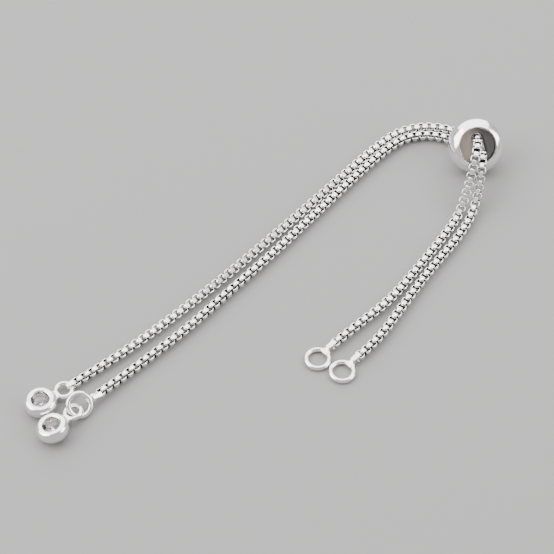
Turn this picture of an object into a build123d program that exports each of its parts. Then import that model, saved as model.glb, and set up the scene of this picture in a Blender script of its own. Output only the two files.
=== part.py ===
"""Slider bracelet base: two box chains through a sliding bead, two drops and two connector rings."""
import os
from math import radians, tan
from build123d import *

# Middle of the laid out piece, which becomes the origin (mm)
origin_x = -0.39
origin_y = -0.20

# Box chain link: a square band bent round a rectangular opening
link_width = 1.40
link_length = 1.10
band_width = 0.64
band_thickness = 0.10
outer_chamfer = 0.32
inner_chamfer = 0.22
link_pitch = 0.70
strand_height = 0.80

# Round rings, all of one wire and size, and how far the bore is trimmed into the wire
ring_radius = 1.68
ring_wire = 0.74
bore_trim = 0.04
ring_height = 0.38

# Soldered end link of a ring: plate into the ring, solid neck, then the eye the chain hooks
plate_stand = 0.20
plate_length = 1.15
plate_width = 1.47
plate_height = 0.80
neck_start = 0.27
neck_width = 0.80
neck_solid = 1.27
chain_start = 1.52
eye_thickness = 0.14
strand_end_gap = 0.16

# Slider bead and its soft core, threaded on the climb of chain A
bead_distance = 5.036
bead_radius = 4.45
bead_bore = 2.80
bead_land = 0.30
bead_half_length = 2.20
bead_chamfer = 0.15
core_gap = 0.05
core_half_length = 1.15
slot_gap = 0.18
slot_upper = (0.05, 1.10)
slot_lower = (0.70, -1.10)

# Drops: rounded cup with a seat, and a wire loop on a tab
cup_base_radius = 1.75
cup_radius = 2.44
cup_lip = 0.26
cup_bevel = 0.20
cup_height = 2.25
seat_radius = 1.62
seat_bevel = 0.14
loop_neck = 0.34
loop_height = 0.62
loop_radius = 1.20
loop_wire = 0.70
tab_width = 1.50
tab_height = 0.66

# Cut stone, let into its cup with a small gap all round
stone_gap = 0.06
girdle_depth = 0.31
girdle_width = 0.12
crown_height = 0.48
pavilion_depth = 1.02
table_share = 0.61
culet_radius = 0.12
seat_gap = 0.12
culet_gap = 0.18

# Shackle of the first drop: box band round the loop's wire and the first chain link
shackle_thickness = 0.16
shackle_slack = 0.21
shackle_wire_gap = 0.13

# Route points of chain A between its end links: long run, up through the bead, arch, short run.
# The climb through the bead runs from the point numbered here to the next one.
climb_start = 11
chain_a_route = [
    (-26.35, -17.55, 0.80), (-20.90, -13.15, 0.80), (-14.46, -7.08, 0.80),
    (-8.65, -1.33, 0.80), (-2.65, 5.07, 0.80), (3.58, 11.82, 0.80),
    (9.92, 18.85, 0.80), (14.87, 24.38, 0.80), (18.70, 28.06, 0.80),
    (22.15, 29.45, 0.80), (25.90, 29.62, 0.80), (31.25, 27.34, 0.90),
    (31.55, 20.48, 8.23), (28.84, 12.45, 0.80), (25.85, 7.39, 0.80),
    (22.04, 1.88, 0.80), (17.20, -4.73, 0.80), (12.42, -9.24, 0.80),
]

# Route points of chain B between its end links: the same way round, inside chain A
chain_b_route = [
    (-22.90, -19.30, 0.80), (-18.40, -15.04, 0.80), (-13.10, -10.02, 0.80),
    (-7.32, -3.50, 0.80), (-1.31, 3.08, 0.80), (4.91, 10.46, 0.80),
    (11.41, 18.06, 0.80), (16.24, 23.58, 0.80), (19.92, 26.98, 0.80),
    (23.58, 28.00, 0.80), (27.40, 27.20, 0.80), (31.96, 24.33, 0.90),
    (32.19, 19.17, 6.41), (30.96, 12.44, 0.80), (27.70, 6.55, 0.80),
    (23.35, 0.86, 0.80), (18.58, -6.57, 0.80), (14.86, -12.55, 0.80),
]

# Places of the connector rings, side by side, and of the ring of the second drop
ring_a_spot = (6.00, -15.38)
ring_side = (0.845, -0.535, 0.0)
ring_gap = 0.125
ring_heading = (0.715, 0.699, 0.0)
drop_ring_spot = (-28.48, -24.18, 1.45)
drop_ring_normal = (0.334, -0.514, 0.790)
drop_ring_heading = (0.79, 0.606, -0.10)

# Places of the drops: B hooks its ring, A lies beside B
hook_side = (-0.620, -0.762, -0.187)
hook_inset = 0.22
drop_b_heading = (0.655, 0.755, 0.052)
drop_b_normal = (-0.184, 0.094, 0.978)
drop_side = (-0.417, 0.909, 0.0)
drop_gap = 0.215
loop_a_height = 0.82
drop_a_heading = (0.788, 0.616, 0.035)
drop_a_normal = (-0.027, -0.022, 0.999)
shackle_heading = (0.780, 0.626, 0.0)

os.makedirs("parts", exist_ok=True)


def at(point):
    """Point of the layout moved so that the middle of the piece is the origin."""
    return Vector(point[0] - origin_x, point[1] - origin_y, point[2])


def frame(centre, along, normal):
    """Placement with X along the first direction and Z near the second one."""
    x_axis = Vector(along).normalized()
    z_axis = Vector(normal)
    z_axis = (z_axis - x_axis * z_axis.dot(x_axis)).normalized()
    return Plane(origin=centre, x_dir=x_axis, z_dir=z_axis).location


def bend_radii(points):
    """Radius of each bend, from the shorter run beside it and the angle turned."""
    radii = []
    for before, corner, after in zip(points, points[1:], points[2:]):
        first = corner - before
        second = after - corner
        half_turn = radians(first.get_angle(second)) / 2
        radii.append(0.45 * min(first.length, second.length) / tan(half_turn))
    return radii


def link_places(wire, pitch):
    """Placements of the links along a route, neighbours turned by a quarter turn."""
    count = 2 * round((wire.length - link_length) / pitch / 2) + 1
    step = (wire.length - link_length) / (count - 1)
    stations = []
    carried = Vector(0, 0, 1)
    for number in range(count):
        distance = link_length / 2 + number * step
        point = wire.position_at(distance, position_mode=PositionMode.LENGTH)
        along = wire.tangent_at(distance, position_mode=PositionMode.LENGTH)
        carried = (carried - along * carried.dot(along)).normalized()
        stations.append((point, along, carried))
    last_along, last_carried = stations[-1][1], stations[-1][2]
    upright = (Vector(0, 0, 1) - last_along * last_along.Z).normalized()
    drift = last_carried.get_signed_angle(upright, last_along)
    places = []
    for number, (point, along, carried) in enumerate(stations):
        lean = drift * number / (count - 1) + 90 * ((number + 1) % 2)
        places.append(frame(point, along, carried) * Location((0, 0, 0), (lean, 0, 0)))
    return places


# Sizes that follow from the ones above
inner_length = link_length - 2 * band_thickness
inner_width = link_width - 2 * band_thickness
hook_length = inner_length + band_thickness - link_pitch
ring_bore = ring_radius - ring_wire / 2 + bore_trim
chain_reach = ring_radius + chain_start
eye_inside = chain_reach + hook_length
eye_end = eye_inside + eye_thickness
core_radius = bead_bore - core_gap
bead_face_radius = bead_bore + bead_land
slot_half_width = link_width / 2 + slot_gap
cup_rim_radius = cup_radius - cup_lip
loop_reach = cup_radius + loop_neck + loop_radius
stone_radius = seat_radius - stone_gap
girdle_high = cup_height - girdle_depth
girdle_low = girdle_high - girdle_width
stone_top = girdle_high + crown_height
stone_bottom = girdle_low - pavilion_depth
shackle_inner = loop_radius - loop_wire / 2 - shackle_slack - shackle_thickness
shackle_reach = loop_radius + loop_wire / 2 + shackle_wire_gap
shackle_outer = shackle_reach + hook_length + eye_thickness

# Centres that follow: each ring and drop takes its place from its neighbour
ring_spacing = 2 * (ring_radius + ring_wire / 2) + ring_gap
ring_a_centre = at((ring_a_spot[0], ring_a_spot[1], ring_height))
ring_b_centre = ring_a_centre + Vector(*ring_side) * ring_spacing
drop_ring_centre = at(drop_ring_spot)
loop_b_centre = drop_ring_centre + Vector(*hook_side) * (ring_radius - hook_inset)
cup_b_middle = loop_b_centre - Vector(*drop_b_heading) * loop_reach
cup_a_middle = cup_b_middle + Vector(*drop_side) * (2 * cup_radius + drop_gap)
loop_a_centre = cup_a_middle + Vector(*drop_a_heading) * loop_reach
loop_a_centre = Vector(loop_a_centre.X, loop_a_centre.Y, loop_a_height)

# Bead: on the climb of chain A, so far off it that both strands lie in the slot
climb_foot = at(chain_a_route[climb_start])
bead_axis = (at(chain_a_route[climb_start + 1]) - climb_foot).normalized()
bead_across = (Vector(1, 0, 0) - bead_axis * bead_axis.X).normalized()
bead_up = bead_axis.cross(bead_across)
bead_middle = climb_foot + bead_axis * bead_distance
bead_middle = bead_middle - bead_across * slot_upper[0] - bead_up * slot_upper[1]
bead_place = Plane(origin=bead_middle, x_dir=bead_across, z_dir=bead_axis).location

# Placements of the rings, their end links, the shackle and the two drops
lift = Location((0, 0, strand_height - ring_height))
ring_a_place = frame(ring_a_centre, ring_heading, (0, 0, 1))
ring_b_place = frame(ring_b_centre, ring_heading, (0, 0, 1))
drop_ring_place = frame(drop_ring_centre, drop_ring_heading, drop_ring_normal)
shackle_place = frame(loop_a_centre, shackle_heading, (0, 0, 1))
drop_shift = Location((-loop_reach, 0, -loop_height))
drop_a_place = frame(loop_a_centre, drop_a_heading, drop_a_normal) * drop_shift
drop_b_place = frame(loop_b_centre, drop_b_heading, drop_b_normal) * drop_shift

# Single link in its own frame: route along X, opening across Y
with BuildPart() as box_link:
    with BuildSketch(Plane.XZ) as link_outline:
        Rectangle(link_length, link_width)
        chamfer(link_outline.vertices(), outer_chamfer)
    extrude(amount=band_width / 2, both=True)
    with BuildSketch(Plane.XZ) as link_opening:
        Rectangle(inner_length, inner_width)
        chamfer(link_opening.vertices(), inner_chamfer)
    extrude(amount=band_width, both=True, mode=Mode.SUBTRACT)

# Round ring in its own frame
with BuildPart() as plain_ring:
    Torus(ring_radius, ring_wire / 2)
    Cylinder(ring_bore, ring_wire * 2, mode=Mode.SUBTRACT)

# Soldered end link in its own frame: ring centre at the origin, chain along X
with BuildPart() as end_link:
    plate_inner = ring_bore - plate_stand
    with Locations((plate_inner + plate_length / 2, 0, 0)):
        Box(plate_length, plate_width, plate_height)
    neck_inner = ring_radius + neck_start
    with BuildSketch(Plane.XZ) as end_outline:
        with Locations(((neck_inner + eye_end) / 2, 0)):
            Rectangle(eye_end - neck_inner, link_width)
        chamfer(end_outline.vertices(), 0.5 * eye_thickness)
    extrude(amount=neck_width / 2, both=True)
    eye_start = ring_radius + neck_solid
    with BuildSketch(Plane.XZ) as end_opening:
        with Locations(((eye_start + eye_inside) / 2, 0)):
            Rectangle(eye_inside - eye_start, inner_width)
    extrude(amount=neck_width, both=True, mode=Mode.SUBTRACT)

# Chain A: loose links, each threaded through its neighbours, from the shackle to the first ring
with BuildPart() as chain_a:
    start = (shackle_place * Location((shackle_reach, 0, 0))).position
    end = (ring_a_place * lift * Location((chain_reach, 0, 0))).position
    route_points = [start, *[at(point) for point in chain_a_route], end]
    with BuildLine() as chain_a_line:
        FilletPolyline(*route_points, radius=bend_radii(route_points))
    with Locations(*link_places(chain_a_line.wire(), link_pitch)):
        add(box_link.part)
chain_a.part.label = "chain_a"
export_step(chain_a.part, "parts/chain_a.step")

# Chain B: one plain strand along its route, cut back to stop short of the eyes of its end links
with BuildPart() as chain_b:
    start = (drop_ring_place * Location((chain_reach, 0, 0))).position
    end = (ring_b_place * lift * Location((chain_reach, 0, 0))).position
    route_points = [start, *[at(point) for point in chain_b_route], end]
    with BuildLine() as chain_b_line:
        FilletPolyline(*route_points, radius=bend_radii(route_points))
    strand = chain_b_line.wire()
    with BuildSketch(Plane(origin=strand @ 0, z_dir=strand % 0)):
        Circle(link_width / 2)
    sweep(path=strand)
    strand_cut = 2 * (eye_end + strand_end_gap)
    with Locations(drop_ring_place, ring_b_place * lift):
        Box(strand_cut, 3 * link_width, 3 * link_width, mode=Mode.SUBTRACT)
chain_b.part.label = "chain_b"
export_step(chain_b.part, "parts/chain_b.step")

# Slider bead: barrel with a wide bore, turned as one ring
with BuildPart() as slider_bead:
    with BuildSketch(Plane.XZ) as bead_section:
        with BuildLine():
            ThreePointArc(
                (bead_face_radius, -bead_half_length),
                (bead_radius, 0),
                (bead_face_radius, bead_half_length),
            )
            Polyline(
                (bead_face_radius, bead_half_length),
                (bead_bore + bead_chamfer, bead_half_length),
                (bead_bore, bead_half_length - bead_chamfer),
                (bead_bore, bead_chamfer - bead_half_length),
                (bead_bore + bead_chamfer, -bead_half_length),
                (bead_face_radius, -bead_half_length),
            )
        make_face()
    revolve(axis=Axis.Z)
slider_bead.part.locate(bead_place)
slider_bead.part.label = "slider_bead"
export_step(slider_bead.part, "parts/slider_bead.step")

# Core: soft plug in the bore with one long slot for both strands
slot_vector = Vector(*slot_upper) - Vector(*slot_lower)
slot_middle = (Vector(*slot_upper) + Vector(*slot_lower)) / 2
with BuildPart() as slider_core:
    Cylinder(core_radius, 2 * core_half_length)
    with BuildSketch(Plane.XY):
        with Locations(slot_middle):
            slot_angle = Vector(1, 0, 0).get_signed_angle(slot_vector, Vector(0, 0, 1))
            SlotCenterToCenter(slot_vector.length, 2 * slot_half_width, rotation=slot_angle)
    extrude(amount=2 * core_half_length, both=True, mode=Mode.SUBTRACT)
slider_core.part.locate(bead_place)
slider_core.part.label = "slider_core"
export_step(slider_core.part, "parts/slider_core.step")

# Connector rings, flat on the surface, with their end links at strand height
with BuildPart() as connector_ring_a:
    with Locations(ring_a_place):
        add(plain_ring.part)
    with Locations(ring_a_place * lift):
        add(end_link.part)
connector_ring_a.part.label = "connector_ring_a"
export_step(connector_ring_a.part, "parts/connector_ring_a.step")

with BuildPart() as connector_ring_b:
    with Locations(ring_b_place):
        add(plain_ring.part)
    with Locations(ring_b_place * lift):
        add(end_link.part)
connector_ring_b.part.label = "connector_ring_b"
export_step(connector_ring_b.part, "parts/connector_ring_b.step")

# Ring of the second drop, leaning over the loop it hooks
with BuildPart() as drop_ring_b:
    with Locations(drop_ring_place):
        add(end_link.part)
    with Locations(Plane(origin=drop_ring_centre, z_dir=drop_ring_normal).location):
        Torus(ring_radius, ring_wire / 2)
drop_ring_b.part.label = "drop_ring_b"
export_step(drop_ring_b.part, "parts/drop_ring_b.step")

# Shackle of the first drop, round the wire of its loop
with BuildPart() as drop_link_a:
    with BuildSketch(Plane.XZ) as shackle_outline:
        with Locations(((shackle_inner + shackle_outer) / 2, 0)):
            Rectangle(shackle_outer - shackle_inner, link_width)
        chamfer(shackle_outline.vertices(), 0.5 * eye_thickness)
    extrude(amount=neck_width / 2, both=True)
    hole_start = shackle_inner + shackle_thickness
    hole_end = shackle_outer - eye_thickness
    with BuildSketch(Plane.XZ) as shackle_opening:
        with Locations(((hole_start + hole_end) / 2, 0)):
            Rectangle(hole_end - hole_start, link_width - 2 * shackle_thickness)
    extrude(amount=neck_width, both=True, mode=Mode.SUBTRACT)
drop_link_a.part.locate(shackle_place)
drop_link_a.part.label = "drop_link_a"
export_step(drop_link_a.part, "parts/drop_link_a.step")

# Cup of a drop in its own frame: centre of the wire loop at the origin, cup towards -X
with BuildPart() as cup_with_loop:
    with BuildSketch(Plane.XZ) as cup_section:
        with BuildLine():
            Spline(
                (cup_base_radius, 0),
                (cup_radius, 0.50 * cup_height),
                (cup_rim_radius, 0.92 * cup_height),
                tangents=[(1, 0.25), (-1, 1.2)],
            )
            Polyline(
                (cup_rim_radius, 0.92 * cup_height),
                (cup_rim_radius - cup_bevel, cup_height),
                (seat_radius + seat_bevel, cup_height),
                (seat_radius, cup_height - seat_bevel),
                (seat_radius, girdle_low - seat_gap),
                (culet_radius + culet_gap, stone_bottom - culet_gap),
                (0, stone_bottom - culet_gap),
                (0, 0),
                (cup_base_radius, 0),
            )
        make_face()
    revolve(axis=Axis.Z)
    with Locations((loop_reach, 0, loop_height)):
        Torus(loop_radius, loop_wire / 2)
    with Locations((cup_radius + loop_neck / 2, 0, loop_height)):
        Box(loop_neck + loop_wire + 0.2, tab_width, tab_height)

with BuildPart() as drop_setting_a:
    with Locations(drop_a_place):
        add(cup_with_loop.part)
drop_setting_a.part.label = "drop_setting_a"
export_step(drop_setting_a.part, "parts/drop_setting_a.step")

with BuildPart() as drop_setting_b:
    with Locations(drop_b_place):
        add(cup_with_loop.part)
drop_setting_b.part.label = "drop_setting_b"
export_step(drop_setting_b.part, "parts/drop_setting_b.step")

# Cut stone in the frame of its cup: table, eight crown facets and eight lower facets
with BuildPart() as cut_stone:
    with BuildSketch(Plane.XY.offset(stone_bottom)):
        RegularPolygon(culet_radius, 8)
    with BuildSketch(Plane.XY.offset(girdle_low)):
        RegularPolygon(stone_radius, 8)
    loft(ruled=True)
    with BuildSketch(Plane.XY.offset(girdle_low)):
        RegularPolygon(stone_radius, 8)
    extrude(amount=girdle_width)
    with BuildSketch(Plane.XY.offset(girdle_high)):
        RegularPolygon(stone_radius, 8)
    with BuildSketch(Plane.XY.offset(stone_top)):
        RegularPolygon(table_share * stone_radius, 8)
    loft(ruled=True)

with BuildPart() as drop_stone_a:
    with Locations(drop_a_place):
        add(cut_stone.part)
drop_stone_a.part.label = "drop_stone_a"
export_step(drop_stone_a.part, "parts/drop_stone_a.step")

with BuildPart() as drop_stone_b:
    with Locations(drop_b_place):
        add(cut_stone.part)
drop_stone_b.part.label = "drop_stone_b"
export_step(drop_stone_b.part, "parts/drop_stone_b.step")
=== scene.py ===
"""Slider bracelet base laid out on a pale table: two box chains, bead, rings and two stone drops."""
from math import cos, pi, radians, sin, sqrt

import bmesh
import bpy
from mathutils import Matrix, Vector


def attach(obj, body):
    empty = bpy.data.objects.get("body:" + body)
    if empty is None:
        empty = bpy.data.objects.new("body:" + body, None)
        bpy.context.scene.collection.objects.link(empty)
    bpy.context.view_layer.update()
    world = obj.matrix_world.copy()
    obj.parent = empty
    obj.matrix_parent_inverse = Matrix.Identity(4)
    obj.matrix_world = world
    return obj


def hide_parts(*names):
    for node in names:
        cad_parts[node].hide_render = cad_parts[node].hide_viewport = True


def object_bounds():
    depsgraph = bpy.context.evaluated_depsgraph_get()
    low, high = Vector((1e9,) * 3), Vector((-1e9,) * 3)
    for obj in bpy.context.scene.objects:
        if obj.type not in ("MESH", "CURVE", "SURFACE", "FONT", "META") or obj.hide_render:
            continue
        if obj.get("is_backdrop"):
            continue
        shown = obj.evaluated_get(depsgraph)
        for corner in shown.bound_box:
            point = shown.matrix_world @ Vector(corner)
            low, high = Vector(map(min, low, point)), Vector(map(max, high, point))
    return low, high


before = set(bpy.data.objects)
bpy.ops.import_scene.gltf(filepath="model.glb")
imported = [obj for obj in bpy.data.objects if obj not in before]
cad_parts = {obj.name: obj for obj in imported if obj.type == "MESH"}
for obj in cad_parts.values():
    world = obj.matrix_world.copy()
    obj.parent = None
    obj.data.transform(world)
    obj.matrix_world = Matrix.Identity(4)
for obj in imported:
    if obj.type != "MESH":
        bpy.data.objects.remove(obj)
cad_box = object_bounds()

# Camera: at the photo's angle, 53 degrees above the table, with a long lens. It looks at the place
# in the frame that the photo has in its middle.
photo_middle = Vector((0.00039, 0.00020, 0.0))
camera_rise = radians(53.0)
camera_distance = 0.30435
camera_data = bpy.data.cameras.new("photo_camera")
camera_data.sensor_width = 36.0
camera_data.lens = 130.0
camera_data.clip_start = 0.01
camera_data.clip_end = 5.0
camera = bpy.data.objects.new("photo_camera", camera_data)
bpy.context.scene.collection.objects.link(camera)
camera.location = photo_middle + camera_distance * Vector((0, -cos(camera_rise), sin(camera_rise)))
camera.rotation_euler = (pi / 2 - camera_rise, 0, 0)
bpy.context.scene.camera = camera

# Table: a plain pale surface far wider than the view, a hair below the lowest metal
table_half = 0.6
table_drop = 0.00002
table_mesh = bpy.data.meshes.new("table")
table_corners = [(x * table_half, y * table_half, 0) for x, y in ((-1, -1), (1, -1), (1, 1), (-1, 1))]
table_mesh.from_pydata(table_corners, [], [(0, 1, 2, 3)])
table = bpy.data.objects.new("table", table_mesh)
bpy.context.scene.collection.objects.link(table)
table.location.z = -table_drop
table_paint = bpy.data.materials.new("table_paint")
table_paint.use_nodes = True
table_shader = table_paint.node_tree.nodes["Principled BSDF"]
table_shader.inputs["Base Color"].default_value = (0.235, 0.23, 0.228, 1)
table_shader.inputs["Roughness"].default_value = 0.7
table_mesh.materials.append(table_paint)
table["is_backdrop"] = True

# Light: a bright room, one wide soft box overhead behind the piece and a smaller one at each side,
# every box facing the origin
world = bpy.data.worlds.new("room")
bpy.context.scene.world = world
world.use_nodes = True
world.node_tree.nodes["Background"].inputs["Color"].default_value = (0.70, 0.685, 0.69, 1)
world.node_tree.nodes["Background"].inputs["Strength"].default_value = 1.05
for name, place, size, power in (
    ("box_over", (-0.04, 0.44, 0.56), 1.20, 17.0),
    ("box_left", (-0.56, -0.04, 0.44), 0.58, 6.8),
    ("box_right", (0.54, -0.06, 0.36), 0.40, 3.2),
):
    lamp = bpy.data.lights.new(name, "AREA")
    lamp.shape = "SQUARE"
    lamp.size = size
    lamp.energy = power
    box = bpy.data.objects.new(name, lamp)
    bpy.context.scene.collection.objects.link(box)
    box.visible_camera = False
    box.location = place
    box.rotation_euler = (-Vector(place)).to_track_quat("-Z", "Y").to_euler()

# Chains: two strands of plated box chain. Each link is a flat band bent round to a square and closed
# through its neighbours, every second one a quarter turn on. The routes hold the points chosen for the
# solids, measured from the middle of the photo.
route_a = [
    (-0.02967, -0.02016, 0.00082), (-0.02635, -0.01755, 0.00080), (-0.02090, -0.01315, 0.00080),
    (-0.01446, -0.00708, 0.00080), (-0.00865, -0.00133, 0.00080), (-0.00265, 0.00507, 0.00080),
    (0.00358, 0.01182, 0.00080), (0.00992, 0.01885, 0.00080), (0.01487, 0.02438, 0.00080),
    (0.01870, 0.02806, 0.00080), (0.02215, 0.02945, 0.00080), (0.02590, 0.02962, 0.00080),
    (0.03125, 0.02734, 0.00090), (0.03155, 0.02048, 0.00823), (0.02884, 0.01245, 0.00080),
    (0.02585, 0.00739, 0.00080), (0.02204, 0.00188, 0.00080), (0.01720, -0.00473, 0.00080),
    (0.01242, -0.00924, 0.00080), (0.00829, -0.01314, 0.00080),
]
route_b = [
    (-0.02595, -0.02224, 0.00113), (-0.02290, -0.01930, 0.00080), (-0.01840, -0.01504, 0.00080),
    (-0.01310, -0.01002, 0.00080), (-0.00732, -0.00350, 0.00080), (-0.00131, 0.00308, 0.00080),
    (0.00491, 0.01046, 0.00080), (0.01141, 0.01806, 0.00080), (0.01624, 0.02358, 0.00080),
    (0.01992, 0.02698, 0.00080), (0.02358, 0.02800, 0.00080), (0.02740, 0.02720, 0.00080),
    (0.03196, 0.02433, 0.00090), (0.03219, 0.01917, 0.00641), (0.03096, 0.01244, 0.00080),
    (0.02770, 0.00655, 0.00080), (0.02335, 0.00086, 0.00080), (0.01858, -0.00657, 0.00080),
    (0.01486, -0.01255, 0.00080), (0.01186, -0.01540, 0.00080),
]
# Turn of the links about the route at each of its points, in degrees
turn_a = [0, 2, 16, 24, 28, 28, 28, 25, 21, 20, 20, 18, 0, 0, -10, -6, 2, -22, -2, 0]
turn_b = [-4, -4, -2, 14, -14, 16, 16, 6, 2, 2, 6, 8, 0, 4, 8, 0, 0, 0, 0, 0]
link_length = 0.00103
link_width = 0.00140
link_band = 0.00068
link_metal = 0.00014
link_pitch = 0.000672
link_corner = 0.00023
link_cut = 0.00004
route_steps = 24


def band_mesh(name, length, width, band, metal, corner, cut):
    """Closed flat band bent round a rectangle with cut corners, chain along Z, opening across Y."""
    # Section of the band: depth as a share of the metal, and place across the band
    section = [
        (0.0, band / 2 - cut), (0.3, band / 2), (1.0, band / 2),
        (1.0, -band / 2), (0.3, -band / 2), (0.0, cut - band / 2),
    ]
    verts, faces, link_painted_shade = [], [], []
    for quarter, (sx, sz) in enumerate(((1, 1), (-1, 1), (-1, -1), (1, -1))):
        centre = Vector((sx * (width / 2 - corner), 0, sz * (length / 2 - corner)))
        for step in (0, 1):
            angle = (quarter + step) * pi / 2
            heading = Vector((cos(angle), 0, sin(angle)))
            for depth, across in section:
                verts.append(centre + heading * (corner - depth * metal) + Vector((0, across, 0)))
    sides = len(section)
    stations = len(verts) // sides
    inner_side, outer_side = 2, sides - 1
    end_bars = (1, 5)
    for i in range(stations):
        for j in range(sides):
            a = i * sides + j
            b = i * sides + (j + 1) % sides
            c = (i + 1) % stations * sides + (j + 1) % sides
            d = (i + 1) % stations * sides + j
            faces.append((a, b, c, d))
            # Painted shade: the inside of the band and the ends inside the next links are darkened, as
            # little light reaches them
            shaded_end = i in end_bars and j == outer_side
            link_painted_shade.append(1.0 if j == inner_side else 0.6 if shaded_end else 0.0)
    mesh = bpy.data.meshes.new(name)
    mesh.from_pydata(verts, [], faces)
    bm = bmesh.new()
    bm.from_mesh(mesh)
    bmesh.ops.recalc_face_normals(bm, faces=bm.faces)
    bm.to_mesh(mesh)
    bm.free()
    mesh.attributes.new("link_painted_shade", "FLOAT", "FACE").data.foreach_set("value", link_painted_shade)
    mesh.shade_smooth()
    mesh.set_sharp_from_angle(angle=radians(44))
    return mesh


chain_metal = bpy.data.materials.new("chain_metal")
chain_metal.use_nodes = True
chain_nodes, chain_wires = chain_metal.node_tree.nodes, chain_metal.node_tree.links
chain_shader = chain_nodes["Principled BSDF"]
chain_painted_shade = chain_nodes.new("ShaderNodeAttribute")
chain_painted_shade.attribute_name = "link_painted_shade"
# Painted shade: the marked faces of the links are darkened from the plated tone to near black
chain_tone = chain_nodes.new("ShaderNodeValToRGB")
chain_tone.color_ramp.elements[0].position = 0.0
chain_tone.color_ramp.elements[0].color = (0.93, 0.905, 0.895, 1)
chain_tone.color_ramp.elements[1].position = 1.0
chain_tone.color_ramp.elements[1].color = (0.07, 0.067, 0.065, 1)
chain_wires.new(chain_painted_shade.outputs["Fac"], chain_tone.inputs["Fac"])
chain_wires.new(chain_tone.outputs["Color"], chain_shader.inputs["Base Color"])
chain_shader.inputs["Metallic"].default_value = 1.0
chain_shader.inputs["Roughness"].default_value = 0.16

link = bpy.data.objects.new(
    "single_link",
    band_mesh("single_link", link_length, link_width, link_band, link_metal, link_corner, link_cut),
)
bpy.context.scene.collection.objects.link(link)

laying = bpy.data.node_groups.new("links_along_route", "GeometryNodeTree")
sockets = {}
for name, kind in (
    ("Geometry", "NodeSocketGeometry"), ("Link", "NodeSocketObject"), ("Count", "NodeSocketInt"),
    ("End Inset", "NodeSocketFloat"), ("Metal", "NodeSocketMaterial"),
):
    sockets[name] = laying.interface.new_socket(name, in_out="INPUT", socket_type=kind).identifier
laying.interface.new_socket("Geometry", in_out="OUTPUT", socket_type="NodeSocketGeometry")
nodes, wires = laying.nodes, laying.links
given = nodes.new("NodeGroupInput")
out = nodes.new("NodeGroupOutput")
length = nodes.new("GeometryNodeCurveLength")
last = nodes.new("ShaderNodeMath")
last.operation = "SUBTRACT"
trim = nodes.new("GeometryNodeTrimCurve")
trim.mode = "LENGTH"
dots = nodes.new("GeometryNodeCurveToPoints")
dots.mode = "COUNT"
source = nodes.new("GeometryNodeObjectInfo")
number = nodes.new("GeometryNodeInputIndex")
parity = nodes.new("ShaderNodeMath")
parity.operation = "MODULO"
parity.inputs[1].default_value = 2
quarter_turn = nodes.new("ShaderNodeMath")
quarter_turn.operation = "MULTIPLY"
quarter_turn.inputs[1].default_value = pi / 2
spin = nodes.new("ShaderNodeCombineXYZ")
spun = nodes.new("FunctionNodeRotateRotation")
spun.rotation_space = "LOCAL"
place_links = nodes.new("GeometryNodeInstanceOnPoints")
real = nodes.new("GeometryNodeRealizeInstances")
dress = nodes.new("GeometryNodeSetMaterial")
wires.new(given.outputs["Geometry"], length.inputs["Curve"])
wires.new(length.outputs["Length"], last.inputs[0])
wires.new(given.outputs["End Inset"], last.inputs[1])
wires.new(given.outputs["Geometry"], trim.inputs["Curve"])
# Half a link is trimmed off each end; the last two sockets of the trim are its ends as lengths
wires.new(given.outputs["End Inset"], trim.inputs[4])
wires.new(last.outputs[0], trim.inputs[5])
wires.new(trim.outputs["Curve"], dots.inputs["Curve"])
wires.new(given.outputs["Count"], dots.inputs["Count"])
wires.new(given.outputs["Link"], source.inputs["Object"])
wires.new(number.outputs[0], parity.inputs[0])
wires.new(parity.outputs[0], quarter_turn.inputs[0])
wires.new(quarter_turn.outputs[0], spin.inputs["Z"])
wires.new(dots.outputs["Rotation"], spun.inputs["Rotation"])
wires.new(spin.outputs[0], spun.inputs["Rotate By"])
wires.new(dots.outputs["Points"], place_links.inputs["Points"])
wires.new(source.outputs["Geometry"], place_links.inputs["Instance"])
wires.new(spun.outputs[0], place_links.inputs["Rotation"])
wires.new(place_links.outputs[0], real.inputs[0])
wires.new(real.outputs[0], dress.inputs["Geometry"])
wires.new(given.outputs["Metal"], dress.inputs["Material"])
wires.new(dress.outputs[0], out.inputs[0])

for name, route, turns in (("chain_a", route_a, turn_a), ("chain_b", route_b, turn_b)):
    line_data = bpy.data.curves.new(name + "_route", "CURVE")
    line_data.dimensions = "3D"
    line_data.twist_mode = "Z_UP"
    spline = line_data.splines.new("NURBS")
    spline.points.add(len(route) - 1)
    for point, place, turn in zip(spline.points, route, turns):
        point.co = (*(Vector(place) + photo_middle), 1.0)
        point.tilt = radians(turn)
    spline.order_u = 3
    spline.use_endpoint_u = True
    spline.resolution_u = route_steps
    line = bpy.data.objects.new(name + "_route", line_data)
    bpy.context.scene.collection.objects.link(line)
    # An odd number of links, so that the first and the last one lie the same way
    run = spline.calc_length()
    count = 2 * round((run - link_length) / link_pitch / 2) + 1
    repeat = line.modifiers.new("links", "NODES")
    repeat.node_group = laying
    repeat[sockets["Link"]] = link
    repeat[sockets["Count"]] = count
    repeat[sockets["End Inset"]] = link_length / 2
    repeat[sockets["Metal"]] = chain_metal
    bpy.context.view_layer.update()
    laid = line.evaluated_get(bpy.context.evaluated_depsgraph_get())
    mesh = bpy.data.meshes.new_from_object(laid)
    chain = bpy.data.objects.new(name + "_links", mesh)
    bpy.context.scene.collection.objects.link(chain)
    bpy.data.objects.remove(line)
    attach(chain, "root")
    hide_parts(name)
bpy.data.objects.remove(link)
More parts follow.
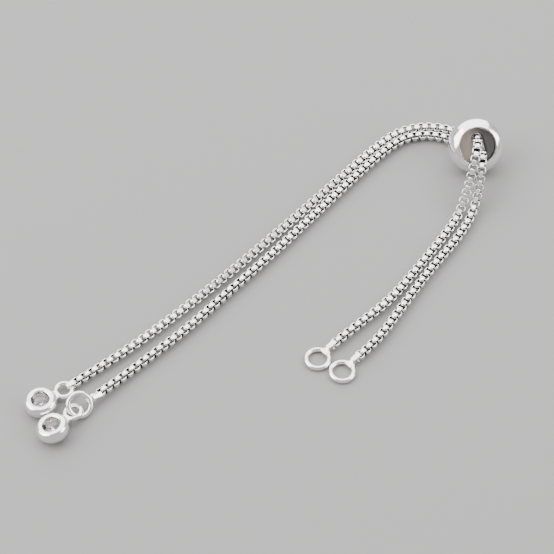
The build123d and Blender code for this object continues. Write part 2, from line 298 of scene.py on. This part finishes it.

# Bead: plated metal barrel, turned in one piece, with a wide bore, a fine groove round each mouth darkened
# with painted shade, and rolled edges. It rests on the table on its lower edge, its axis leaning back.
bright_metal = bpy.data.materials.new("bright_metal")
bright_metal.use_nodes = True
bright_nodes, bright_wires = bright_metal.node_tree.nodes, bright_metal.node_tree.links
bright_shader = bright_nodes["Principled BSDF"]
bright_groove_shade = bright_nodes.new("ShaderNodeAttribute")
bright_groove_shade.attribute_name = "groove"
# Painted shade: faces in the groove are darkened from the plated tone to near black
bright_tone = bright_nodes.new("ShaderNodeMix")
bright_tone.data_type = "RGBA"
bright_tone.inputs[6].default_value = (0.91, 0.890, 0.885, 1)
bright_tone.inputs[7].default_value = (0.05, 0.048, 0.047, 1)
bright_wires.new(bright_groove_shade.outputs["Fac"], bright_tone.inputs[0])
bright_wires.new(bright_tone.outputs[2], bright_shader.inputs["Base Color"])
bright_shader.inputs["Metallic"].default_value = 1.0
bright_place = bright_nodes.new("ShaderNodeTexCoord")
bright_wear = bright_nodes.new("ShaderNodeTexNoise")
bright_wear.inputs["Scale"].default_value = 900.0
bright_wear.inputs["Detail"].default_value = 3.0
bright_range = bright_nodes.new("ShaderNodeMapRange")
bright_range.inputs["To Min"].default_value = 0.10
bright_range.inputs["To Max"].default_value = 0.20
bright_wires.new(bright_place.outputs["Object"], bright_wear.inputs["Vector"])
bright_wires.new(bright_wear.outputs[0], bright_range.inputs["Value"])
bright_wires.new(bright_range.outputs["Result"], bright_shader.inputs["Roughness"])


def seat(centre, along, normal):
    """Matrix of a frame with X along the first direction and Z near the second one."""
    x_axis = Vector(along).normalized()
    z_axis = Vector(normal)
    z_axis = (z_axis - x_axis * z_axis.dot(x_axis)).normalized()
    turn = Matrix((x_axis, z_axis.cross(x_axis), z_axis)).transposed()
    return Matrix.Translation(Vector(centre)) @ turn.to_4x4()


def turned(name, profile, steps):
    """Mesh of a closed outline of radius and height turned round Z."""
    verts, faces = [], []
    for i in range(steps):
        angle = 2 * pi * i / steps
        for radius, height in profile:
            verts.append((radius * cos(angle), radius * sin(angle), height))
    sides = len(profile)
    for i in range(steps):
        for j in range(sides):
            a = i * sides + j
            b = i * sides + (j + 1) % sides
            c = (i + 1) % steps * sides + (j + 1) % sides
            d = (i + 1) % steps * sides + j
            faces.append((a, d, c, b))
    mesh = bpy.data.meshes.new(name)
    mesh.from_pydata(verts, [], faces)
    return mesh


def finish_piece(mesh, place, node, paint, sharp):
    """Put a mesh at its place as an unturned object that stands in for a node."""
    mesh.transform(place)
    bm = bmesh.new()
    bm.from_mesh(mesh)
    bmesh.ops.remove_doubles(bm, verts=bm.verts, dist=1e-8)
    bmesh.ops.recalc_face_normals(bm, faces=bm.faces)
    bm.to_mesh(mesh)
    bm.free()
    if sharp is None:
        mesh.shade_flat()
    else:
        mesh.shade_smooth()
        mesh.set_sharp_from_angle(angle=radians(sharp))
    mesh.materials.clear()
    mesh.materials.append(paint)
    piece = bpy.data.objects.new(node + "_look", mesh)
    bpy.context.scene.collection.objects.link(piece)
    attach(piece, "root")
    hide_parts(node)


bead_middle = (0.03174, 0.02330, 0.003825)
bead_axis = (0.0299, -0.6832, 0.7300)
bead_across = (1.0, 0.0205, -0.0219)
bead_place = seat(bead_middle, bead_across, bead_axis)
bead_half = 0.00220
bead_radius = 0.00445
bead_face = 0.00302
bead_bore = 0.00281
bead_turns = 160
outline_steps = 32
groove_inner = 0.00289
groove_outer = 0.00296
# The outside is one arc over the middle of the barrel, which stops short of the faces
swell = (bead_half ** 2 + (bead_radius - bead_face) ** 2) / (2 * (bead_radius - bead_face))
arc_share = 0.96
half_arc = arc_share * bead_half / swell
outline = []
for k in range(outline_steps + 1):
    angle = half_arc * (2 * k / outline_steps - 1)
    outline.append((bead_radius - swell + swell * cos(angle), swell * sin(angle)))
# Lip from the end of the arc over the groove to the bore, as radius and height
lip = [
    (0.00304, 0.00217), (0.00300, 0.00219), (0.00297, 0.00217), (groove_outer, 0.00206),
    (0.00290, 0.00206), (groove_inner, 0.00217), (0.00287, 0.00219), (0.00284, 0.00218),
    (0.00282, 0.00214),
]
inside = [(bead_bore, height) for height in (0.0020, 0.0012, 0.0004, -0.0004, -0.0012, -0.0020)]
other_lip = [(radius, -height) for radius, height in reversed(lip)]
bead_profile = outline + lip + inside + other_lip
bead_mesh = turned("slider_bead_look", bead_profile, bead_turns)
# Painted shade mask: 1 on the faces inside the groove
groove_shade_mask = [1.0 if groove_inner < radius <= groove_outer else 0.0 for radius, height in bead_profile]
bead_mesh.attributes.new("groove", "FLOAT", "POINT").data.foreach_set("value", groove_shade_mask * bead_turns)
finish_piece(bead_mesh, bead_place, "slider_bead", bright_metal, 35)

# Core: moulded plug of soft grey silicone, pushed into the bore and set back in it, with one long slot
# that grips both strands. It is translucent, with painted light making it paler and browner at its left
# side in random patches, and painted shade making it dark in the slot.
clear_rubber = bpy.data.materials.new("clear_rubber")
clear_rubber.use_nodes = True
rubber_nodes, rubber_wires = clear_rubber.node_tree.nodes, clear_rubber.node_tree.links
rubber_shader = rubber_nodes["Principled BSDF"]
rubber_shader.inputs["Roughness"].default_value = 0.34
rubber_shader.inputs["Transmission Weight"].default_value = 0.25
rubber_shader.inputs["IOR"].default_value = 1.42
rubber_place = rubber_nodes.new("ShaderNodeTexCoord")
rubber_cloud = rubber_nodes.new("ShaderNodeTexNoise")
rubber_cloud.inputs["Scale"].default_value = 420.0
rubber_split = rubber_nodes.new("ShaderNodeSeparateXYZ")
# Painted light: the plug is paler and browner towards its left side, within the noise's random patches
rubber_lit_side = rubber_nodes.new("ShaderNodeMapRange")
rubber_lit_side.inputs["From Min"].default_value = 0.0332
rubber_lit_side.inputs["From Max"].default_value = 0.0298
rubber_lit_patch = rubber_nodes.new("ShaderNodeMath")
rubber_lit_patch.operation = "MULTIPLY"
rubber_tone = rubber_nodes.new("ShaderNodeValToRGB")
rubber_tone.color_ramp.elements[0].position = 0.10
rubber_tone.color_ramp.elements[0].color = (0.115, 0.107, 0.104, 1)
rubber_tone.color_ramp.elements[1].position = 0.50
rubber_tone.color_ramp.elements[1].color = (0.40, 0.34, 0.28, 1)
rubber_wires.new(rubber_place.outputs["Object"], rubber_cloud.inputs["Vector"])
rubber_wires.new(rubber_place.outputs["Object"], rubber_split.inputs[0])
rubber_wires.new(rubber_split.outputs["X"], rubber_lit_side.inputs["Value"])
rubber_wires.new(rubber_lit_side.outputs["Result"], rubber_lit_patch.inputs[0])
rubber_wires.new(rubber_cloud.outputs[0], rubber_lit_patch.inputs[1])
rubber_wires.new(rubber_lit_patch.outputs[0], rubber_tone.inputs["Fac"])
# Painted shade: the walls of the slot are darkened to near black
rubber_slot_shade = rubber_nodes.new("ShaderNodeAttribute")
rubber_slot_shade.attribute_name = "slot_painted_shade"
rubber_slot_shade_mix = rubber_nodes.new("ShaderNodeMix")
rubber_slot_shade_mix.data_type = "RGBA"
rubber_slot_shade_mix.inputs[7].default_value = (0.018, 0.017, 0.016, 1)
rubber_wires.new(rubber_slot_shade.outputs["Fac"], rubber_slot_shade_mix.inputs[0])
rubber_wires.new(rubber_tone.outputs["Color"], rubber_slot_shade_mix.inputs[6])
rubber_wires.new(rubber_slot_shade_mix.outputs[2], rubber_shader.inputs["Base Color"])

core_radius = 0.00275
core_half = 0.00115
slot_radius = 0.00088
slot_ends = ((0.00005, 0.00110), (0.00070, -0.00110))
core_turns = 96
# Section of the plug from the slot out to the bore, as shares of its width there and of its half height
core_top = [(0.0, 0.84), (0.06, 0.95), (0.16, 1.0), (0.40, 0.99), (0.70, 0.98), (0.90, 1.0), (1.0, 0.93)]
core_section = core_top + [(share, -height) for share, height in reversed(core_top)]
slot_middle = Vector(((slot_ends[0][0] + slot_ends[1][0]) / 2, 0.0))
slot_way = (Vector(slot_ends[0]) - Vector(slot_ends[1])) / 2
slot_half = slot_way.length
slot_way.normalize()
verts, faces, slot_shade_marks = [], [], []
for k in range(core_turns):
    angle = 2 * pi * k / core_turns
    way = Vector((slot_way.x * cos(angle) - slot_way.y * sin(angle),
                  slot_way.y * cos(angle) + slot_way.x * sin(angle)))
    side, front = abs(sin(angle)), abs(cos(angle))
    # The slot has straight sides and round ends; its middle lies off the middle of the plug
    inner = slot_radius / max(side, 1e-6)
    if inner * front > slot_half:
        inner = slot_half * front + sqrt(slot_radius ** 2 - (slot_half * side) ** 2)
    lean = slot_middle.dot(way)
    outer = sqrt(core_radius ** 2 - slot_middle.length_squared + lean ** 2) - lean
    wide = outer - inner
    for share, height in core_section:
        spot = slot_middle + way * (inner + wide * share)
        verts.append((spot.x, spot.y, core_half * height))
        # Painted shade mask: 1 on the wall of the slot
        slot_shade_marks.append(1.0 if share == 0.0 else 0.0)
sides = len(core_section)
for i in range(core_turns):
    here, there = i * sides, (i + 1) % core_turns * sides
    for j in range(sides):
        above = (j + 1) % sides
        faces.append((here + j, there + j, there + above, here + above))
core_mesh = bpy.data.meshes.new("slider_core_look")
core_mesh.from_pydata(verts, [], faces)
core_mesh.attributes.new("slot_painted_shade", "FLOAT", "POINT").data.foreach_set("value", slot_shade_marks)
finish_piece(core_mesh, bead_place, "slider_core", clear_rubber, 40)


# Rings: plated round wire closed on itself, with the end link of the chain soldered on. The joint is
# melted over, so wire, plate and neck are one smooth surface. The eye at the end holds the chain.
# Sizes are in millimetres up to the melting, which gives metres.
def add_block(bm, x0, x1, width, height, round_by, z=0.0):
    """Add a box along X between two places, its edges rounded and its middle at height z."""
    part = bmesh.new()
    made = bmesh.ops.create_cube(part, size=1.0)["verts"]
    bmesh.ops.scale(part, verts=made, vec=(x1 - x0, width, height))
    bmesh.ops.translate(part, verts=made, vec=((x0 + x1) / 2, 0, 0))
    bmesh.ops.bevel(part, geom=part.edges[:], offset=round_by, segments=2, affect="EDGES", profile=0.5)
    bmesh.ops.translate(part, verts=part.verts, vec=(0, 0, z))
    holder = bpy.data.meshes.new("block")
    part.to_mesh(holder)
    part.free()
    bm.from_mesh(holder)
    bpy.data.meshes.remove(holder)


def wire_ring(bm, radius, wire, place):
    """Torus of round wire round Z, moved by a matrix."""
    rows, sides = 72, 20
    grid = []
    for i in range(rows):
        a = 2 * pi * i / rows
        row = []
        for j in range(sides):
            b = 2 * pi * j / sides
            r = radius + wire / 2 * cos(b)
            row.append(bm.verts.new(place @ Vector((r * cos(a), r * sin(a), wire / 2 * sin(b)))))
        grid.append(row)
    for i in range(rows):
        for j in range(sides):
            bm.faces.new((grid[i][j], grid[(i + 1) % rows][j],
                          grid[(i + 1) % rows][(j + 1) % sides], grid[i][(j + 1) % sides]))


def melted(bm, name, grain, passes):
    """One closed surface over parts that overlap, in millimetres, smoothed and then in metres."""
    rough = bpy.data.meshes.new(name + "_parts")
    bmesh.ops.recalc_face_normals(bm, faces=bm.faces)
    bm.to_mesh(rough)
    bm.free()
    holder = bpy.data.objects.new(name + "_parts", rough)
    bpy.context.scene.collection.objects.link(holder)
    skin = holder.modifiers.new("skin", "REMESH")
    skin.mode = "VOXEL"
    skin.voxel_size = grain
    soften = holder.modifiers.new("soften", "SMOOTH")
    soften.factor = 0.5
    soften.iterations = passes
    bpy.context.view_layer.update()
    done = holder.evaluated_get(bpy.context.evaluated_depsgraph_get())
    mesh = bpy.data.meshes.new_from_object(done)
    bpy.data.objects.remove(holder)
    mesh.transform(Matrix.Scale(0.001, 4))
    return mesh


ring_radius = 1.68
ring_wire = 0.75
ring_grain = 0.045
ring_passes = 5
plate_start, plate_end = 1.16, 2.14
plate_width = 1.34
plate_metal = 0.58
plate_round = 0.20
plate_drop = 0.30
neck_start, neck_stop, neck_end = 1.95, 2.95, 3.62
neck_width = 0.79
neck_height = 1.39
neck_round = 0.15
eye_metal = 0.15
eye_bar = 0.14
eye_round = 0.05
arm_start = 2.83
solder_start, solder_end = 1.80, 2.74
solder_width = 1.26
solder_height = 0.90
solder_round = 0.26
neck_lift = 0.42
up = (0, 0, 1)
hooked_up = (0.334, -0.514, 0.790)
# On the table the neck is lifted from the wire to the height of the chain. The ring that is hooked
# through the drop has its neck in line with the wire, and a thicker lump of solder.
for node, centre, along, normal, lift in (
    ("connector_ring_a", (6.39, -15.18, 0.38), (0.715, 0.699, 0), up, neck_lift),
    ("connector_ring_b", (9.96, -17.44, 0.38), (0.715, 0.699, 0), up, neck_lift),
    ("drop_ring_b", (-28.09, -23.98, 1.45), (0.79, 0.606, -0.10), hooked_up, 0.0),
):
    bm = bmesh.new()
    plate_height = -plate_drop if lift else 0.0
    add_block(bm, plate_start, plate_end, plate_width, plate_metal, plate_round, plate_height)
    add_block(bm, neck_start, neck_stop, neck_width, neck_height, neck_round)
    if not lift:
        add_block(bm, solder_start, solder_end, solder_width, solder_height, solder_round)
    for side in (-1, 1):
        arm_height = side * (neck_height - eye_metal) / 2
        add_block(bm, arm_start, neck_end, neck_width, eye_metal, eye_round, arm_height)
    add_block(bm, neck_end - eye_bar, neck_end, neck_width, neck_height, eye_round)
    bmesh.ops.translate(bm, verts=bm.verts, vec=(0, 0, lift))
    bmesh.ops.transform(bm, matrix=seat((0, 0, 0), along, normal), verts=bm.verts)
    flat = Vector(normal).to_track_quat("Z", "Y").to_matrix().to_4x4()
    wire_ring(bm, ring_radius, ring_wire, flat)
    ring_mesh = melted(bm, node, ring_grain, ring_passes)
    move = Matrix.Translation(Vector(centre) * 0.001)
    finish_piece(ring_mesh, move, node, bright_metal, 60)

# Shackle of the first drop: a flat plated band, longer than a chain link. It is bent round the wire of
# the drop's loop and the first link of the chain, and closed.
shackle_length = 0.00164
shackle_width = 0.00140
shackle_band = 0.00078
shackle_metal = 0.00016
shackle_corner = 0.00024
shackle_cut = 0.00005
shackle_reach = 0.00130
drop_loop_a = (-30.59, -21.014, 0.82)
shackle_mesh = band_mesh(
    "drop_link_a_look", shackle_length, shackle_width, shackle_band, shackle_metal, shackle_corner,
    shackle_cut,
)
# The band runs along Z as made; the shackle lies along X from the middle of the drop's loop
lying = Matrix(((0, 0, 1, shackle_reach), (0, 1, 0, 0), (1, 0, 0, 0), (0, 0, 0, 1)))
loop_place = seat(Vector(drop_loop_a) * 0.001, (0.780, 0.626, 0), up)
finish_piece(shackle_mesh, loop_place @ lying, "drop_link_a", bright_metal, 40)

# Settings: two plated cups with a thick rounded wall that is pressed over the stone. Each is cast in
# one with its short tab and wire loop. Sizes are in millimetres, the cup's as radius and height.
loop_reach = 3.98
loop_height = 0.62
loop_radius = 1.20
loop_wire = 0.71
tab_start, tab_end = 2.05, 3.10
tab_width = 1.46
tab_metal = 0.64
tab_round = 0.16
cup_turns = 96
cup_grain = 0.05
cup_passes = 4
# Outline of the cup from the middle of its foot round the rim and down inside to the middle
cup = [
    (0.0, 0.0), (1.20, 0.0), (1.70, 0.03), (1.98, 0.16), (2.22, 0.44), (2.38, 0.80), (2.43, 1.15),
    (2.42, 1.42), (2.36, 1.68), (2.25, 1.90), (2.09, 2.08), (1.90, 2.20), (1.70, 2.245), (1.52, 2.23),
    (1.38, 2.18), (1.29, 2.10), (1.34, 2.03), (1.61, 1.95), (1.61, 1.70), (1.10, 1.20), (0.40, 0.68),
    (0.0, 0.62),
]
# For each drop: middle of its loop, way from the cup to the loop, and way up
drops = {
    "a": (drop_loop_a, (0.788, 0.616, 0.035), (-0.027, -0.022, 0.999)),
    "b": ((-28.995, -25.093, 1.177), (0.655, 0.755, 0.052), (-0.184, 0.094, 0.978)),
}


def cup_place(centre, along, normal):
    """Matrix of the foot of a cup, from the place of its loop."""
    loop = seat(Vector(centre) * 0.001, along, normal)
    return loop @ Matrix.Translation((-loop_reach * 0.001, 0, -loop_height * 0.001))


for letter, drop in drops.items():
    bm = bmesh.new()
    bm.from_mesh(turned("cup", cup, cup_turns))
    bmesh.ops.remove_doubles(bm, verts=bm.verts, dist=1e-5)
    wire_ring(bm, loop_radius, loop_wire, Matrix.Translation((loop_reach, 0, loop_height)))
    add_block(bm, tab_start, tab_end, tab_width, tab_metal, tab_round, loop_height)
    setting_mesh = melted(bm, "drop_setting_" + letter, cup_grain, cup_passes)
    node = "drop_setting_" + letter
    finish_piece(setting_mesh, cup_place(*drop), node, bright_metal, 60)

# Stones: two clear round stones, cut with a table, two rows of crown facets and a pointed underside.
# Each sits on the step in its cup, held by the rim. Rows are corners, turn, radius and height.
stone_rows = (
    (8, 0.5, 0.78, 2.11), (8, 0.0, 1.15, 2.01), (16, 0.0, 1.56, 1.84), (16, 0.0, 1.56, 1.76),
    (8, 0.5, 0.85, 1.26), (1, 0.0, 0.0, 0.80),
)
clear_stone = bpy.data.materials.new("clear_stone")
clear_stone.use_nodes = True
stone_shader = clear_stone.node_tree.nodes["Principled BSDF"]
stone_shader.inputs["Base Color"].default_value = (0.80, 0.74, 0.74, 1)
stone_shader.inputs["Transmission Weight"].default_value = 1.0
stone_shader.inputs["Roughness"].default_value = 0.02
stone_shader.inputs["IOR"].default_value = 1.75
for letter, drop in drops.items():
    bm = bmesh.new()
    for sides, turn, radius, height in stone_rows:
        for k in range(sides):
            angle = 2 * pi * (k + turn) / sides
            bm.verts.new((radius * cos(angle), radius * sin(angle), height))
    bmesh.ops.convex_hull(bm, input=bm.verts)
    bmesh.ops.dissolve_limit(bm, angle_limit=radians(1), verts=bm.verts, edges=bm.edges)
    stone_mesh = bpy.data.meshes.new("drop_stone_" + letter)
    bm.to_mesh(stone_mesh)
    bm.free()
    stone_mesh.transform(Matrix.Scale(0.001, 4))
    finish_piece(stone_mesh, cup_place(*drop), "drop_stone_" + letter, clear_stone, None)

size = {"cad": [list(corner) for corner in cad_box], "visual": [list(corner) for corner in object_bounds()]}
